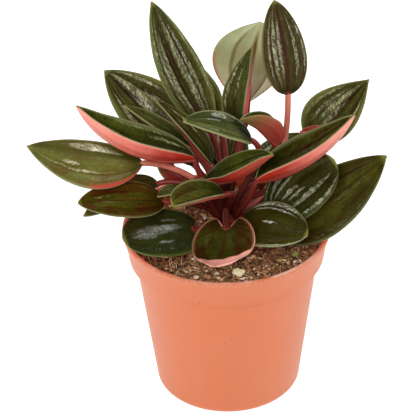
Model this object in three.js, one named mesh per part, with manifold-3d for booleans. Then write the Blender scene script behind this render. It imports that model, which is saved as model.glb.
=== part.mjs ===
// A potted peperomia with lance-shaped, ribbed leaves on red stalks, in a plastic nursery pot.
// Millimetres, +Z up. The origin is the centre of the pot's underside.
import * as THREE from "three";
import { mergeVertices } from "three/addons/utils/BufferGeometryUtils.js";
import Module from "manifold-3d";

const wasm = await Module();
wasm.setup();

// Pot
const POT_HEIGHT = 92;
const RIM_RADIUS = 52.5;
const RIM_LIP = 2.6; // height of the rounded lip
const EDGE = 0.7; // how far the pot's small edges are rounded off
const COLLAR_DEPTH = 16; // the wider band below the rim
const COLLAR_RADIUS = 49.5; // at the band's lower edge
const BODY_TOP_RADIUS = 46.5; // just below the band
const BODY_FOOT_RADIUS = 37.2;
const FOOT_ROUND = 4.5;
const BASE_RADIUS = 34; // the flat ring that the pot stands on
const BASE_RING = 5; // width of that ring
const BASE_RAISE = 2; // between that ring and the foot, the underside stands clear of the table
const CENTRE_FOOT = 12; // radius of the flat foot in the middle
const STEP_SLOPE = 1; // how far each edge of the underside leans
const WALL = 1.7;
const FLOOR = 2;
const POT_SIDES = 48;
const DRAIN_HOLES = 6;
const DRAIN_RADIUS = 3.5;
const DRAIN_SIDES = 16;
const DRAIN_CIRCLE = 20;
// The inside of the wall from the floor up to the band, as radius and height.
const INNER_WALL = [
  [BODY_FOOT_RADIUS - 2 * WALL, BASE_RAISE + FLOOR],
  [BODY_FOOT_RADIUS - WALL, FOOT_ROUND + WALL],
  [BODY_TOP_RADIUS - WALL, POT_HEIGHT - COLLAR_DEPTH - WALL],
  [COLLAR_RADIUS - WALL, POT_HEIGHT - COLLAR_DEPTH + WALL / 2],
];

// Soil
const SOIL_EDGE = 85;
const SOIL_DOME = 3; // the middle stands this much higher than the edge
const SOIL_RELIEF = 1.4;
const SOIL_RINGS = 9;
const SOIL_RADIUS = 48.8; // at its top edge
const GAP = 0.3; // clearance between pieces that touch

// Plant
const BLADE_THICKNESS = 1.2;
const BLADE_COLUMNS = 8; // two ribs in each half
const BLADE_ROWS = [0, 0.05, 0.15, 0.29, 0.45, 0.61, 0.76, 0.89, 1];
const RIB_HEIGHT = 0.035; // of the blade's width
const NOTCH = 300; // how steep the notch between the two lobes of a blade's base is
const STALK_RADIUS = 1.5;
const STALK_SIDES = 6;
const STALK_STEPS = 8;
const STALK_GAP = 0.45; // between a stalk's end and its blade
const STALK_TIERS = 4; // stalks leave the crown at this many heights
const TIER_HEIGHT = 1.5;
const TOP_TIER = 5; // below the crown's top
const STALK_REACH = 0.55; // of the crown's radius, where a stalk starts
const CROWN = [0, 3]; // x and y of its axis
const CROWN_RADIUS = 6;
const CROWN_TOP = 99;
const CROWN_SINK = 14; // how far the crown goes down into the soil
const CROWN_SIDES = 12;
const HOLE_SIDES = 24;
const HOLE_RADIUS = CROWN_RADIUS + 0.5;

const GREEN = { color: 0x3a4a22, roughness: 0.38, metalness: 0 };
const RED = { color: 0xb5463c, roughness: 0.5, metalness: 0 };
const TERRACOTTA = { color: 0xdf825c, roughness: 0.55, metalness: 0 };
const PEAT = { color: 0x3c271b, roughness: 0.95, metalness: 0 };

// One row for each leaf. base and tip are the two ends of the blade, and width is its widest.
// turn rolls the blade about its length, bend droops the tip (below 0 lifts both ends), hook
// bends its last third, fold raises the halves like a book, and cup curls the margins up, all
// in degrees. round is how blunt the ends are, and late moves the widest place to the tip.
// lobe sets back the two sides of the base and sweep bows the midrib sideways, in millimetres.
// The stalk climbs from the crown for rise of its span, and follows its last heading for the
// share follow. That heading is the midrib's, turned down by under degrees, or else arrive.
// clear is how much sooner the stalk ends where the blade's base curls round it.
const LEAVES = [
  { name: "leaf_01_tall_left", base: [-9, 28, 134], tip: [-35, 55, 191], width: 30,
    bend: 6, fold: 12, cup: 20, sweep: -5.5, clear: 0.25 },
  { name: "leaf_02_pale_back", base: [10, 48, 134], tip: [19, 38, 187], width: 40,
    turn: -40, bend: 12, fold: 6, cup: 14, round: -0.4, late: 0.2, arrive: [0, 0.2, 1] },
  { name: "leaf_03_narrow", base: [10, 19, 138], tip: [15, 30, 178], width: 27,
    turn: -32, bend: -10, fold: 32, cup: 26, round: 0.3, late: -0.1 },
  { name: "leaf_04_tall_right", base: [32, 18, 157], tip: [26, 38, 199], width: 24,
    bend: 0, fold: 8, cup: 20, round: 0.5, rise: 0.2, follow: 1, arrive: [0, -0.05, 1] },
  { name: "leaf_05_right_back", base: [43, 22, 126], tip: [74, 42, 151], width: 31,
    turn: 20, bend: -10, fold: 12, cup: 20, round: -0.1, late: -0.05 },
  { name: "leaf_06_right_boat", base: [15, -9, 124], tip: [64, 3, 153], width: 32,
    turn: 6, bend: -80, fold: 44, cup: 32, round: 0.4,
    rise: 0.15, follow: 0.45, arrive: [0.25, 0, 1] },
  { name: "leaf_07_right_low", base: [22, -8, 92], tip: [80, 0, 131], width: 38,
    turn: 22, bend: -20, fold: -8, cup: 20, sweep: 2 },
  { name: "leaf_08_round", base: [26, -9, 109], tip: [54, 0, 129], width: 38,
    turn: 12, bend: 40, fold: -12, cup: 10, round: 1, lobe: 6, clear: 0.08 },
  { name: "leaf_09_front_right", base: [7, -23, 109], tip: [39, -38, 110], width: 31,
    turn: 14, bend: 30, fold: -5, cup: 10, round: 0.7, under: 20 },
  { name: "leaf_10_front_cup", base: [-0.3, -32.5, 110.6], tip: [-6, -51, 101.8], width: 36,
    turn: 17, bend: -30, hook: -60, fold: 0, cup: 30, round: 1, lobe: 7.5, sweep: -1.5,
    arrive: [0, -1, -0.15], clear: 0.4 },
  { name: "leaf_11_front_left", base: [-17, -16, 100], tip: [-51, -27, 103], width: 33,
    turn: -14, bend: 20, fold: -8, cup: 10, round: 1, lobe: 4 },
  { name: "leaf_12_left_low", base: [-31, -8, 112], tip: [-73, -14, 116], width: 28,
    turn: -9, bend: 10, fold: 0, cup: 10, round: 0.5 },
  { name: "leaf_13_far_left", base: [-41, 8, 125], tip: [-98, 5, 138], width: 36,
    turn: -12, bend: -10, fold: -26, cup: 30, round: 0, late: 0.06, sweep: -1.5, clear: 0.1 },
  { name: "leaf_14_left_boat", base: [-15, 0, 132], tip: [-72, 2, 162], width: 32,
    turn: -6, bend: -88, fold: 44, cup: 32, round: 0.3, arrive: [-0.15, 0, 1] },
  { name: "leaf_15_upper_left", base: [-15, 22, 125], tip: [-60, 48, 156], width: 36,
    turn: -25, bend: 0, fold: 12, cup: 16, sweep: -2 },
  { name: "leaf_16_small_folded", base: [-19, 14, 130], tip: [-50, 26, 148], width: 13,
    bend: 0, fold: 20, cup: 20 },
  { name: "leaf_17_narrow_dark", base: [-7, 3, 126], tip: [-34, 15, 157], width: 17,
    turn: -3, bend: 0, fold: 35, cup: 20 },
  { name: "leaf_18_centre", base: [13, 3, 140], tip: [-20, -8, 158], width: 20,
    turn: -15, bend: 25, fold: 5, cup: 20, round: 0.4 },
  { name: "leaf_19_small_curled", base: [26, 16, 129], tip: [8, 4, 151], width: 20,
    turn: 0, bend: 20, fold: 50, cup: 45, round: 0.4, clear: 0.15 },
  { name: "leaf_20_centre_right", base: [-10.5, -8, 124], tip: [23.5, -13, 140.8], width: 24.5,
    turn: 7, bend: -90, hook: 45, fold: 36, cup: 30, round: 0.3, late: 0.1, sweep: 1,
    clear: 0.15 },
  { name: "leaf_21_centre_left", base: [-1, -17, 121], tip: [-26, -27, 121], width: 23,
    bend: 30, fold: 15, cup: 40, round: 0.7, late: 0.15, sweep: -2, clear: 0.45 },
  { name: "leaf_22_under_left", base: [-34, 9, 112], tip: [-72, 5, 96], width: 26,
    bend: 10, fold: 5, cup: 15 },
  { name: "leaf_23_tiny", base: [-23, -2, 116], tip: [-34, -8, 115], width: 9,
    bend: 10, fold: 5, cup: 15 },
  { name: "leaf_24_dark_red", base: [-22, 14, 112], tip: [-34, 16, 118], width: 9,
    turn: 150, bend: 10, fold: 5, cup: 15 },
  { name: "leaf_25_behind_boat", base: [38, 18, 134], tip: [58, 18, 135], width: 8,
    turn: -120, bend: 0, fold: 5, cup: 15, follow: 0.8, arrive: [0, 0, 1], clear: 1.4 },
  { name: "leaf_26_back_low", base: [2, 22, 106], tip: [-8, 75, 112], width: 30,
    bend: 20, round: 0.3 },
  { name: "leaf_27_back_left", base: [-15, 22, 114], tip: [-46, 64, 126], width: 26,
    bend: 15, round: 0.3 },
  { name: "leaf_28_left_back", base: [-28, 26, 114], tip: [-64, 45, 122], width: 18,
    bend: 15, round: 0.3, arrive: [-0.6, 0.4, 1] },
  { name: "leaf_29_back_right", base: [17, 19, 104], tip: [45, 58, 110], width: 26,
    bend: 20, round: 0.3 },
  { name: "leaf_30_right_back_low", base: [18, 14, 96], tip: [60, 42, 98], width: 24,
    bend: 15, round: 0.4 },
  { name: "leaf_31_back_upper_left", base: [-4, 36, 132], tip: [-25, 74, 151], width: 20,
    bend: 10 },
  { name: "leaf_32_back_upper", base: [-1, 24, 113], tip: [-1, 66, 126], width: 14,
    bend: 10 },
];

const radians = THREE.MathUtils.degToRad;
const crownHeight = CROWN_TOP - SOIL_EDGE + CROWN_SINK;

// The blade's own directions: along its length, out to its right and up from its upper face.
function bladeFrame({ base, tip, turn = 0 }) {
  const from = new THREE.Vector3(...base);
  const chord = new THREE.Vector3(...tip).sub(from);
  const along = chord.clone().normalize();
  const up = new THREE.Vector3(0, 0, 1).addScaledVector(along, -along.z).normalize();
  up.applyAxisAngle(along, radians(turn));
  const side = new THREE.Vector3().crossVectors(along, up);
  return { from, length: chord.length(), along, up, side };
}

// The midrib as a list of points with their directions, bent in the blade's own upright plane.
function midrib({ bend = 10, hook = 0 }, length) {
  const steps = 40;
  const line = [{ x: 0, y: 0 }];
  const slopes = [];
  for (let i = 0; i <= steps; i++) {
    const v = i / steps;
    slopes.push(radians(bend * (0.5 - v) - hook * v ** 4));
    if (i < steps)
      line.push({
        x: line[i].x + Math.cos(slopes[i]) / steps,
        y: line[i].y + Math.sin(slopes[i]) / steps,
      });
  }
  const end = line[steps];
  const level = Math.atan2(end.y, end.x);
  const scale = length / Math.hypot(end.x, end.y);
  return (v) => {
    const i = Math.min(Math.floor(v * steps), steps - 1);
    const t = v * steps - i;
    const x = THREE.MathUtils.lerp(line[i].x, line[i + 1].x, t);
    const y = THREE.MathUtils.lerp(line[i].y, line[i + 1].y, t);
    const c = Math.cos(-level);
    const s = Math.sin(-level);
    return {
      x: (x * c - y * s) * scale,
      y: (x * s + y * c) * scale,
      slope: THREE.MathUtils.lerp(slopes[i], slopes[i + 1], t) - level,
    };
  };
}

// How wide the blade is at v, from 0 at its base to 1 at its tip, as a share of its widest.
function outline(v, round, late) {
  const rise = 0.62 - 0.3 * round + late;
  const fall = 0.95 - 0.5 * round - late;
  const peak = rise / (rise + fall);
  return (v / peak) ** rise * ((1 - v) / (1 - peak)) ** fall;
}

// A function that gives the point of the blade at u, from -1 to 1 across, and v along it.
function bladeSurface(leaf) {
  const { width, fold = 14, cup = 14, round = 0.2, late = 0, lobe = 0, sweep = 0 } = leaf;
  const { from, length, along, up, side } = bladeFrame(leaf);
  const line = midrib(leaf, length);
  return (u, v) => {
    const { x, y, slope } = line(v);
    const half = Math.max((width / 2) * outline(v, round, late), v < 0.5 ? STALK_RADIUS : 0);
    const start = radians(fold);
    const curl = radians(cup) + 1e-6;
    const end = start + curl * Math.abs(u);
    const out = (half * (Math.sin(end) - Math.sin(start))) / curl;
    const lift = (half * (Math.cos(start) - Math.cos(end))) / curl;
    const rib = RIB_HEIGHT * half * 2 * Math.sin(2 * Math.PI * u) ** 2;
    const setBack = lobe * Math.abs(u) ** 1.5 * (1 - v) ** 4 * (1 - (1 - v) ** NOTCH);
    const forward = x - setBack;
    const high = lift + rib;
    return from
      .clone()
      .addScaledVector(along, forward - high * Math.sin(slope))
      .addScaledVector(up, y + high * Math.cos(slope))
      .addScaledVector(side, Math.sign(u) * out + sweep * 4 * v * (1 - v));
  };
}

// A closed mesh between the upper face and the same face moved down by the thickness.
function bladeGeometry(leaf) {
  const surface = bladeSurface(leaf);
  const rows = BLADE_ROWS.length;
  const columns = BLADE_COLUMNS + 1;
  const upper = [];
  const lower = [];
  const nearby = 0.01;
  const inset = 0.02;
  for (const v of BLADE_ROWS)
    for (let j = 0; j < columns; j++) {
      const u = (2 * j) / BLADE_COLUMNS - 1;
      const inV = THREE.MathUtils.clamp(v, inset, 1 - inset);
      const inU = v === 1 ? 0 : THREE.MathUtils.clamp(u, inset - 1, 1 - inset);
      const alongU = surface(inU + nearby, inV).sub(surface(inU - nearby, inV));
      const alongV = surface(inU, inV + nearby).sub(surface(inU, inV - nearby));
      const normal = alongU.cross(alongV).normalize();
      const point = surface(u, v);
      upper.push(point.clone().addScaledVector(normal, BLADE_THICKNESS / 2));
      lower.push(point.clone().addScaledVector(normal, -BLADE_THICKNESS / 2));
    }
  const points = [...upper, ...lower];
  const below = upper.length;
  const faces = [];
  const face = (a, b, c, d) => faces.push(a, b, c, a, c, d);
  for (let i = 0; i < rows - 1; i++)
    for (let j = 0; j < columns - 1; j++) {
      const a = i * columns + j;
      const b = a + 1;
      const c = b + columns;
      const d = a + columns;
      face(a, b, c, d);
      face(d + below, c + below, b + below, a + below);
    }
  for (let i = 0; i < rows - 1; i++) {
    const left = i * columns;
    const right = left + columns - 1;
    face(left, left + columns, left + columns + below, left + below);
    face(right + below, right + columns + below, right + columns, right);
  }
  for (let j = 0; j < columns - 1; j++) {
    face(j + below, j + 1 + below, j + 1, j);
    const last = (rows - 1) * columns + j;
    face(last, last + 1, last + 1 + below, last + below);
  }
  const geometry = new THREE.BufferGeometry().setFromPoints(points);
  geometry.setIndex(faces);
  return geometry;
}

// A three.js geometry as a solid that can be joined and cut.
function solid(geometry) {
  const bare = new THREE.BufferGeometry();
  bare.setAttribute("position", geometry.getAttribute("position"));
  if (geometry.index) bare.setIndex(geometry.index);
  const merged = mergeVertices(bare, 1e-3);
  const index = [];
  for (let i = 0; i < merged.index.count; i += 3) {
    const [a, b, c] = [0, 1, 2].map((k) => merged.index.getX(i + k));
    if (a !== b && b !== c && c !== a) index.push(a, b, c);
  }
  return new wasm.Manifold(
    new wasm.Mesh({
      numProp: 3,
      vertProperties: merged.attributes.position.array,
      triVerts: new Uint32Array(index),
    }),
  );
}

function geometryOf(manifold) {
  const { vertProperties, triVerts } = manifold.getMesh();
  const geometry = new THREE.BufferGeometry();
  geometry.setAttribute("position", new THREE.BufferAttribute(vertProperties, 3));
  geometry.setIndex(new THREE.BufferAttribute(triVerts, 1));
  return geometry;
}

// A round bar along a curve.
function bar(curve, radius) {
  const section = new THREE.Shape().absarc(0, 0, radius, 0, 2 * Math.PI);
  return new THREE.ExtrudeGeometry(section, {
    extrudePath: curve,
    steps: STALK_STEPS,
    curveSegments: STALK_SIDES / 2,
  });
}

// The middle line of a leaf's stalk, which starts inside the crown.
function stalkCurve(leaf, order) {
  const { rise = 0.4, follow = 0.35, under = 0, arrive, clear = 0 } = leaf;
  const surface = bladeSurface(leaf);
  const blade = surface(0, 0);
  const midway = surface(0, 0.06).sub(blade).normalize();
  const { side } = bladeFrame(leaf);
  const into = arrive
    ? new THREE.Vector3(...arrive).normalize()
    : midway.clone().applyAxisAngle(side, radians(under));
  const heading = Math.atan2(blade.y - CROWN[1], blade.x - CROWN[0]);
  const reach = CROWN_RADIUS * STALK_REACH;
  const level = CROWN_TOP - TOP_TIER - (order % STALK_TIERS) * TIER_HEIGHT;
  const root = new THREE.Vector3(
    CROWN[0] + reach * Math.cos(heading),
    CROWN[1] + reach * Math.sin(heading),
    level,
  );
  const slack = STALK_GAP + clear + (BLADE_THICKNESS / 2) * Math.sin(midway.angleTo(into));
  const end = blade.clone().addScaledVector(into, -slack);
  const span = end.distanceTo(root);
  const first = root.clone().add(new THREE.Vector3(0, 0, span * rise));
  const second = end.clone().addScaledVector(into, -span * follow);
  return new THREE.CubicBezierCurve3(root, first, second, end);
}

function stalksAndCrown() {
  const crown = new THREE.SphereGeometry(CROWN_RADIUS, CROWN_SIDES, CROWN_SIDES);
  crown.rotateX(Math.PI / 2);
  crown.scale(1, 1, crownHeight / 2 / CROWN_RADIUS);
  crown.translate(CROWN[0], CROWN[1], CROWN_TOP - crownHeight / 2);
  let joined = solid(crown);
  LEAVES.forEach((leaf, order) => {
    joined = joined.add(solid(bar(stalkCurve(leaf, order), STALK_RADIUS)));
  });
  return geometryOf(joined);
}

// The pot's wall as a closed profile turned about its axis, with its drain holes cut.
function pot() {
  const top = POT_HEIGHT;
  const step = top - COLLAR_DEPTH;
  const floor = BASE_RAISE + FLOOR;
  const profile = [
    [0, 0],
    [CENTRE_FOOT, 0],
    [CENTRE_FOOT + STEP_SLOPE, BASE_RAISE],
    [BASE_RADIUS - BASE_RING - STEP_SLOPE, BASE_RAISE],
    [BASE_RADIUS - BASE_RING, 0],
    [BASE_RADIUS, 0],
    [BODY_FOOT_RADIUS - EDGE, FOOT_ROUND / 3],
    [BODY_FOOT_RADIUS, FOOT_ROUND],
    [BODY_TOP_RADIUS, step - EDGE],
    [COLLAR_RADIUS - EDGE, step],
    [COLLAR_RADIUS, step + EDGE],
    [RIM_RADIUS - EDGE, top - RIM_LIP],
    [RIM_RADIUS, top - RIM_LIP / 2],
    [RIM_RADIUS - EDGE, top],
    [RIM_RADIUS - WALL, top],
    [RIM_RADIUS - WALL - EDGE, top - EDGE],
    ...INNER_WALL.toReversed(),
    [0, floor],
  ].map(([r, z]) => new THREE.Vector2(r, z));
  const shell = new THREE.LatheGeometry(profile, POT_SIDES);
  shell.rotateX(Math.PI / 2);
  let cut = solid(shell);
  for (let i = 0; i < DRAIN_HOLES; i++) {
    const angle = (2 * Math.PI * i) / DRAIN_HOLES;
    const hole = new THREE.CylinderGeometry(DRAIN_RADIUS, DRAIN_RADIUS, 3 * floor, DRAIN_SIDES);
    hole.rotateX(Math.PI / 2);
    hole.translate(DRAIN_CIRCLE * Math.cos(angle), DRAIN_CIRCLE * Math.sin(angle), 0);
    cut = cut.subtract(solid(hole));
  }
  return geometryOf(cut);
}

// The ridges and hollows of the soil's top, flat at its edge.
function soilHeight(r, angle) {
  const across = r / SOIL_RADIUS;
  const x = r * Math.cos(angle);
  const y = r * Math.sin(angle);
  const alongX = Math.sin(0.55 * x + 2 * Math.sin(0.21 * y));
  const alongY = Math.cos(0.47 * y - 1.7 * Math.sin(0.17 * x));
  const lumps = alongX * alongY;
  return SOIL_EDGE + SOIL_DOME * (1 - across ** 2) + SOIL_RELIEF * lumps * (1 - across ** 6);
}

// Soil fills the pot up to its gap from the wall, with a hole that the crown stands in.
function soil() {
  const floor = BASE_RAISE + FLOOR + GAP;
  const points = [new THREE.Vector3(0, 0, floor)];
  const ring = (r, height) => {
    for (let k = 0; k < POT_SIDES; k++) {
      const angle = (2 * Math.PI * k) / POT_SIDES;
      points.push(new THREE.Vector3(r * Math.cos(angle), r * Math.sin(angle), height(r, angle)));
    }
  };
  for (const [r, z] of INNER_WALL) ring(r - GAP, () => Math.max(z, floor));
  ring(SOIL_RADIUS, () => SOIL_EDGE);
  for (let i = SOIL_RINGS - 1; i > 0; i--) ring((SOIL_RADIUS * i) / SOIL_RINGS, soilHeight);
  points.push(new THREE.Vector3(0, 0, soilHeight(0, 0)));
  const top = points.length - 1;
  const rings = (top - 1) / POT_SIDES;
  const faces = [];
  for (let k = 0; k < POT_SIDES; k++) {
    const next = (k + 1) % POT_SIDES;
    faces.push(0, 1 + next, 1 + k);
    for (let i = 0; i < rings - 1; i++) {
      const low = 1 + i * POT_SIDES;
      const high = low + POT_SIDES;
      faces.push(low + k, low + next, high + next, low + k, high + next, high + k);
    }
    const last = 1 + (rings - 1) * POT_SIDES;
    faces.push(last + k, last + next, top);
  }
  const geometry = new THREE.BufferGeometry().setFromPoints(points);
  geometry.setIndex(faces);
  const bottom = CROWN_TOP - crownHeight - GAP;
  const depth = POT_HEIGHT - bottom;
  const hole = new THREE.CylinderGeometry(HOLE_RADIUS, HOLE_RADIUS, depth, HOLE_SIDES);
  hole.rotateX(Math.PI / 2);
  hole.translate(CROWN[0], CROWN[1], bottom + depth / 2);
  return geometryOf(solid(geometry).subtract(solid(hole)));
}

function addNode(group, name, geometry, finish) {
  const mesh = new THREE.Mesh(geometry, new THREE.MeshStandardMaterial(finish));
  mesh.name = name;
  group.add(mesh);
}

const plant = new THREE.Group();
addNode(plant, "pot", pot(), TERRACOTTA);
addNode(plant, "soil", soil(), PEAT);
addNode(plant, "stalks_and_crown", stalksAndCrown(), RED);
for (const leaf of LEAVES) addNode(plant, leaf.name, geometryOf(solid(bladeGeometry(leaf))), GREEN);

export default plant;
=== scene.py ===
import math
import random

import bpy
from mathutils import Matrix, Quaternion, Vector, noise


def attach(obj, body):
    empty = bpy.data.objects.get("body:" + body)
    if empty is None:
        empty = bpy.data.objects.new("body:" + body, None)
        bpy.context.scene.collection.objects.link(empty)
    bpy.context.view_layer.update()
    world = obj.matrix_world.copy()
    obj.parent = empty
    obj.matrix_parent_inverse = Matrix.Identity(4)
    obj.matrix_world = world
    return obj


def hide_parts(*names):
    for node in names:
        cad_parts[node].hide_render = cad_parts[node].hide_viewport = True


# A young peperomia with striped leaves on red stalks, in a terracotta-coloured nursery pot.
# Blender works in metres, and the values of the pieces are in millimetres.

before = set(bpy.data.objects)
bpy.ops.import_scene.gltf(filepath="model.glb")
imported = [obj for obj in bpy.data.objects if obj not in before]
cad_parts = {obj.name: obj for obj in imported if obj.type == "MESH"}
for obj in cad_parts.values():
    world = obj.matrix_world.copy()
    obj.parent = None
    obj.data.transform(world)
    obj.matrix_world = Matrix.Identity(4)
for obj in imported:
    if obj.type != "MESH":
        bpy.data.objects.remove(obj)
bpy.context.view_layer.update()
mm = 0.001


def toMetres(point):
    return Vector(point) * mm


def deselectAll():
    bpy.ops.object.select_all(action="DESELECT")


def selectOnly(piece):
    deselectAll()
    piece.select_set(True)
    bpy.context.view_layer.objects.active = piece


def newPiece(name):
    # names the primitive that an operator has just added
    piece = bpy.context.object
    piece.name = name
    piece.data.name = name
    return piece


def settle(piece):
    selectOnly(piece)
    bpy.ops.object.transform_apply(location=True, rotation=True, scale=True)


def applyModifiers(piece):
    selectOnly(piece)
    for modifier in list(piece.modifiers):
        bpy.ops.object.modifier_apply(modifier=modifier.name)


def smooth(piece, degrees):
    selectOnly(piece)
    bpy.ops.object.shade_smooth_by_angle(angle=math.radians(degrees))


def extrudeRings(rings):
    # draws the selected round edge on through these radii and levels
    radius, level = rings[0]
    for nextRadius, nextLevel in rings[1:]:
        bpy.ops.mesh.extrude_edges_move(TRANSFORM_OT_translate={"value": (0, 0, (nextLevel - level) * mm)})
        grow = nextRadius / radius
        bpy.ops.transform.resize(value=(grow, grow, 1), center_override=(0, 0, 0))
        radius, level = nextRadius, nextLevel


def closeShell():
    bpy.ops.mesh.edge_face_add()
    bpy.ops.mesh.select_all(action="SELECT")
    bpy.ops.mesh.normals_make_consistent(inside=False)
    bpy.ops.object.mode_set(mode="OBJECT")


def joinPieces(name, pieces):
    deselectAll()
    for piece in pieces:
        piece.select_set(True)
    bpy.context.view_layer.objects.active = pieces[0]
    bpy.ops.object.join()
    return newPiece(name)


def finishPiece(piece, slot, *nodes):
    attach(piece, "root")
    if nodes:
        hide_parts(*nodes)


def paint(red, green, blue):
    # a screen colour from 0 to 255 as the linear colour that a shader takes
    shares = [value / 255 for value in (red, green, blue)]
    return tuple(s / 12.92 if s <= 0.04045 else ((s + 0.055) / 1.055) ** 2.4 for s in shares) + (1,)


def paintPoints(piece, colours):
    tone = piece.data.attributes.new("tone", "FLOAT_COLOR", "POINT")
    tone.data.foreach_set("color", [share for colour in colours for share in colour])


def paintWhole(piece, colour):
    paintPoints(piece, [paint(*colour)] * len(piece.data.vertices))


class Wire:
    # an output socket that sums can be written with
    def __init__(self, tree, socket):
        self.tree = tree
        self.socket = socket

    def sum(self, operation, first, second=0):
        made = self.tree.nodes.new("ShaderNodeMath")
        made.operation = operation
        for socket, value in zip(made.inputs, (first, second)):
            if isinstance(value, Wire):
                self.tree.links.new(value.socket, socket)
            else:
                socket.default_value = value
        return Wire(self.tree, made.outputs[0])

    def __add__(self, other):
        return self.sum("ADD", self, other)

    __radd__ = __add__

    def __sub__(self, other):
        return self.sum("SUBTRACT", self, other)

    def __rsub__(self, other):
        return self.sum("SUBTRACT", other, self)

    def __mul__(self, other):
        return self.sum("MULTIPLY", self, other)

    __rmul__ = __mul__

    def __truediv__(self, other):
        return self.sum("DIVIDE", self, other)

    def __abs__(self):
        return self.sum("ABSOLUTE", self)

    def sine(self):
        return self.sum("SINE", self)


class Finish:
    # a material under construction, with the patterns that its pieces share
    def __init__(self, name):
        self.material = bpy.data.materials.new(name)
        self.material.use_nodes = True
        self.tree = self.material.node_tree
        self.tree.nodes.clear()
        self.place = self.node("ShaderNodeTexCoord", output="Object")

    def node(self, kind, settings=None, values=None, output=0):
        made = self.tree.nodes.new(kind)
        for key, value in (settings or {}).items():
            setattr(made, key, value)
        for key, value in (values or {}).items():
            if isinstance(value, Wire):
                self.tree.links.new(value.socket, made.inputs[key])
            else:
                made.inputs[key].default_value = value
        return Wire(self.tree, made.outputs[output]) if made.outputs else None

    def parts(self, vector):
        # the x, y and z of a vector
        split = self.node("ShaderNodeSeparateXYZ", values={0: vector})
        return [Wire(self.tree, output) for output in split.socket.node.outputs]

    def cloudiness(self, vector, scale, detail, roughness):
        values = {"Vector": vector, "Scale": scale, "Detail": detail, "Roughness": roughness}
        return self.node("ShaderNodeTexNoise", values=values)

    def grain(self, size, detail, roughness=0.5):
        # noise from 0 to 1 whose lumps are about this many millimetres across
        return self.cloudiness(self.place, 1 / (size * mm), detail, roughness)

    def step(self, value, low, high):
        # 0 below low and 1 above high, with a soft slope between; low may be the larger
        values = {"Value": value, "From Min": low, "From Max": high}
        return self.node("ShaderNodeMapRange", {"interpolation_type": "SMOOTHSTEP"}, values)

    def band(self, value, centre, half, soft):
        # 1 on the middle of a stripe, and 0 from half its width outwards; soft is how much of
        # that half fades
        return self.step(abs(value - centre), half, half * (1 - soft))

    def mix(self, first, second, share):
        values = {0: share, 6: first, 7: second}
        return self.node("ShaderNodeMix", {"data_type": "RGBA", "clamp_factor": True}, values, output=2)

    def over(self, colour, tone, share):
        # a screen colour laid over what is there
        return self.mix(colour, paint(*tone), share)

    def bump(self, height, depth):
        values = {"Height": height, "Distance": depth * mm, "Strength": 1.0}
        return self.node("ShaderNodeBump", values=values)

    def finish(self, colour, rough, **values):
        named = {"Base Color": colour, "Roughness": rough}
        named.update({key.replace("_", " "): value for key, value in values.items()})
        shader = self.node("ShaderNodeBsdfPrincipled", values=named)
        self.node("ShaderNodeOutputMaterial", values={"Surface": shader})
        return self.material


# The pot. Each depth says how far below its top a colour begins and where it is full. Its rim
# top is paler, partly from wear and partly painted highlight; the wall inside the rim is painted
# light and the crest line a painted highlight.
pot = dict(
    height=92, rimRadius=52.5, lip=2.6, collarDepth=16, collarRadius=49.5, bodyTop=46.5, bodyFoot=37.2,
    footRound=4.5, baseRadius=34, baseRing=5, raised=2, centreFoot=12, stepSlope=1, wall=1.7, floor=2,
    sides=160, drainHoles=6, drainRadius=3.5, drainCircle=20, colour=(203, 107, 60), pale=(206, 113, 70),
    worn=(222, 150, 124), speck=(96, 52, 38), innerPaintedLight=(226, 112, 60), crestHighlight=(250, 214, 194),
    innerRadius=50.5, innerDepth=(6, 4.5), wornAndSheenDepth=(2.5, 0.5), crestHighlightDepth=(0.7, 0.1), roughness=0.42,
    sheen=0.05)


def arc(centreR, centreZ, radius, start, end, steps):
    turns = [math.radians(start + (end - start) * i / steps) for i in range(steps + 1)]
    return [(centreR + radius * math.cos(t), centreZ + radius * math.sin(t)) for t in turns]


def potProfile():
    # radius and height, from the middle of its underside out, up over the rim and in to its floor
    top = pot["height"]
    step = top - pot["collarDepth"]
    lip = pot["lip"] / 2
    foot = pot["footRound"]
    inside = pot["wall"]
    floor = pot["raised"] + pot["floor"]
    return [
        (pot["centreFoot"], 0),
        (pot["centreFoot"] + pot["stepSlope"], pot["raised"]),
        (pot["baseRadius"] - pot["baseRing"] - pot["stepSlope"], pot["raised"]),
        (pot["baseRadius"] - pot["baseRing"], 0),
        *arc(pot["bodyFoot"] - foot, foot, foot, -80, 0, 8),
        (pot["bodyTop"] - 0.1, step - 1),
        (pot["bodyTop"] + 0.1, step - 0.2),
        (pot["collarRadius"] - 0.5, step - 0.1),
        *arc(pot["collarRadius"] - 0.5, step + 0.4, 0.5, -60, 0, 3),
        (pot["rimRadius"] - 0.9, top - 2 * lip - 0.4),
        *arc(pot["rimRadius"] - lip + 0.1, top - lip, lip, -50, 150, 12),
        (pot["rimRadius"] - inside - 0.7, top - 1.6),
        (pot["collarRadius"] - inside, step + inside / 2),
        (pot["bodyTop"] - inside, step - inside),
        (pot["bodyFoot"] - inside, foot + inside),
        (pot["bodyFoot"] - 2 * inside, floor),
    ]


def belowTop(make, height, depths):
    start, full = [(pot["height"] - depth) * mm for depth in depths]
    return make.step(height, start, full)


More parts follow.
